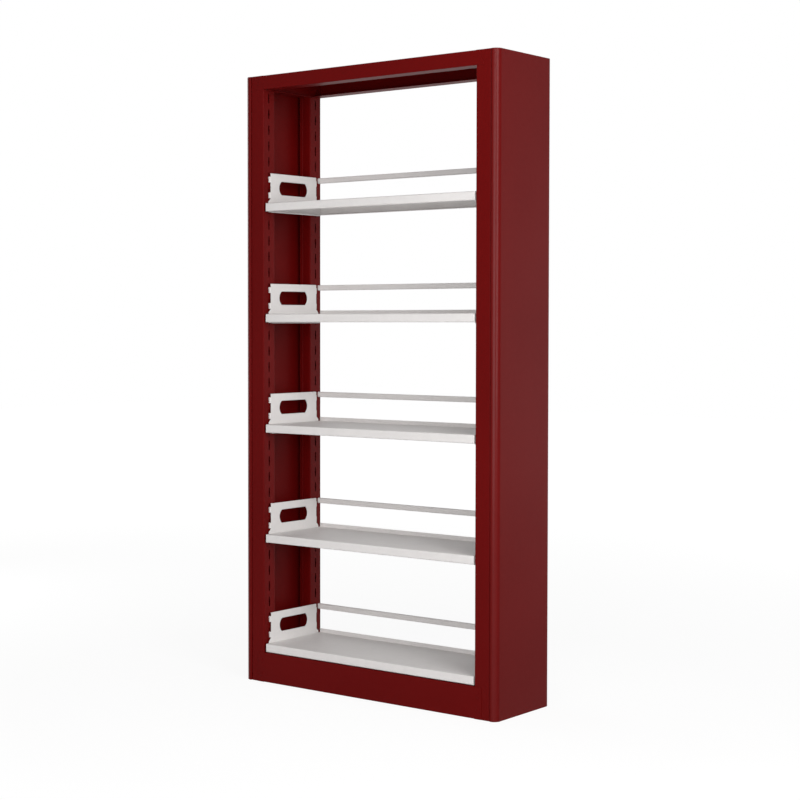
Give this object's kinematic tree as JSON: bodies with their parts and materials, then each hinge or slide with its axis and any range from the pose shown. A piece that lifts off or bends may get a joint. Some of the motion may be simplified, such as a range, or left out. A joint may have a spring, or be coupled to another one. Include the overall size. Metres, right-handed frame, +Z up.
{
  "type": "single-sided bookcase",
  "caption": "Tall open bookcase of folded steel with bullnosed side covers, slotted columns and hook-on lift-off shelves with side brackets and rear rails.",
  "frame": {"origin": "centre of the base, on the floor", "axes": "+Z up, front towards -Y, +X to the right seen from the front"},
  "size_m": [1, 0.3, 2],
  "materials": {
    "wine_red_coat": "satin wine-red powder coat",
    "light_grey_coat": "satin light grey powder coat",
    "zinc_plate": "bright zinc plate"
  },
  "bodies": {
    "frame": {"left_front_column": "wine_red_coat", "right_front_column": "wine_red_coat", "left_rear_column": "wine_red_coat", "right_rear_column": "wine_red_coat", "left_side_cover": "wine_red_coat", "right_side_cover": "wine_red_coat", "left_inner_panel": "wine_red_coat", "right_inner_panel": "wine_red_coat", "left_base_tie": "wine_red_coat", "right_base_tie": "wine_red_coat", "left_top_tie": "wine_red_coat", "right_top_tie": "wine_red_coat", "top_panel": "wine_red_coat", "front_kick_plate": "wine_red_coat", "rear_kick_plate": "wine_red_coat", "kick_plate_screws": "wine_red_coat", "top_panel_screws": "wine_red_coat", "cover_screws": "zinc_plate", "rail_screws": "zinc_plate", "shelf_1_rear_rail": "light_grey_coat", "shelf_2_rear_rail": "light_grey_coat", "shelf_3_rear_rail": "light_grey_coat", "shelf_4_rear_rail": "light_grey_coat", "shelf_5_rear_rail": "light_grey_coat"},
    "shelf_1_left_bracket": {"shelf_1_left_bracket": "light_grey_coat"},
    "shelf_1_right_bracket": {"shelf_1_right_bracket": "light_grey_coat"},
    "shelf_1": {"shelf_1": "light_grey_coat"},
    "shelf_2_left_bracket": {"shelf_2_left_bracket": "light_grey_coat"},
    "shelf_2_right_bracket": {"shelf_2_right_bracket": "light_grey_coat"},
    "shelf_2": {"shelf_2": "light_grey_coat"},
    "shelf_3_left_bracket": {"shelf_3_left_bracket": "light_grey_coat"},
    "shelf_3_right_bracket": {"shelf_3_right_bracket": "light_grey_coat"},
    "shelf_3": {"shelf_3": "light_grey_coat"},
    "shelf_4_left_bracket": {"shelf_4_left_bracket": "light_grey_coat"},
    "shelf_4_right_bracket": {"shelf_4_right_bracket": "light_grey_coat"},
    "shelf_4": {"shelf_4": "light_grey_coat"},
    "shelf_5_left_bracket": {"shelf_5_left_bracket": "light_grey_coat"},
    "shelf_5_right_bracket": {"shelf_5_right_bracket": "light_grey_coat"},
    "shelf_5": {"shelf_5": "light_grey_coat"}
  },
  "joints": [
    {"name": "shelf_1_left_bracket_lift", "type": "slide", "parent": "frame", "child": "shelf_1_left_bracket", "axis": [0, 0, 1], "range_m": [0, 0.009]},
    {"name": "shelf_1_right_bracket_lift", "type": "slide", "parent": "frame", "child": "shelf_1_right_bracket", "axis": [0, 0, 1], "range_m": [0, 0.009]},
    {"name": "shelf_1_lift", "type": "slide", "parent": "shelf_1_left_bracket", "child": "shelf_1", "axis": [0, 0, 1], "range_m": [0, 0.05]},
    {"name": "shelf_2_left_bracket_lift", "type": "slide", "parent": "frame", "child": "shelf_2_left_bracket", "axis": [0, 0, 1], "range_m": [0, 0.009]},
    {"name": "shelf_2_right_bracket_lift", "type": "slide", "parent": "frame", "child": "shelf_2_right_bracket", "axis": [0, 0, 1], "range_m": [0, 0.009]},
    {"name": "shelf_2_lift", "type": "slide", "parent": "shelf_2_left_bracket", "child": "shelf_2", "axis": [0, 0, 1], "range_m": [0, 0.05]},
    {"name": "shelf_3_left_bracket_lift", "type": "slide", "parent": "frame", "child": "shelf_3_left_bracket", "axis": [0, 0, 1], "range_m": [0, 0.009]},
    {"name": "shelf_3_right_bracket_lift", "type": "slide", "parent": "frame", "child": "shelf_3_right_bracket", "axis": [0, 0, 1], "range_m": [0, 0.009]},
    {"name": "shelf_3_lift", "type": "slide", "parent": "shelf_3_left_bracket", "child": "shelf_3", "axis": [0, 0, 1], "range_m": [0, 0.05]},
    {"name": "shelf_4_left_bracket_lift", "type": "slide", "parent": "frame", "child": "shelf_4_left_bracket", "axis": [0, 0, 1], "range_m": [0, 0.009]},
    {"name": "shelf_4_right_bracket_lift", "type": "slide", "parent": "frame", "child": "shelf_4_right_bracket", "axis": [0, 0, 1], "range_m": [0, 0.009]},
    {"name": "shelf_4_lift", "type": "slide", "parent": "shelf_4_left_bracket", "child": "shelf_4", "axis": [0, 0, 1], "range_m": [0, 0.05]},
    {"name": "shelf_5_left_bracket_lift", "type": "slide", "parent": "frame", "child": "shelf_5_left_bracket", "axis": [0, 0, 1], "range_m": [0, 0.009]},
    {"name": "shelf_5_right_bracket_lift", "type": "slide", "parent": "frame", "child": "shelf_5_right_bracket", "axis": [0, 0, 1], "range_m": [0, 0.009]},
    {"name": "shelf_5_lift", "type": "slide", "parent": "shelf_5_left_bracket", "child": "shelf_5", "axis": [0, 0, 1], "range_m": [0, 0.05]}
  ],
  "couplings": [
    {"joint": "shelf_1_right_bracket_lift", "follows": "shelf_1_left_bracket_lift", "ratio": 1},
    {"joint": "shelf_2_right_bracket_lift", "follows": "shelf_2_left_bracket_lift", "ratio": 1},
    {"joint": "shelf_3_right_bracket_lift", "follows": "shelf_3_left_bracket_lift", "ratio": 1},
    {"joint": "shelf_4_right_bracket_lift", "follows": "shelf_4_left_bracket_lift", "ratio": 1},
    {"joint": "shelf_5_right_bracket_lift", "follows": "shelf_5_left_bracket_lift", "ratio": 1}
  ]
}
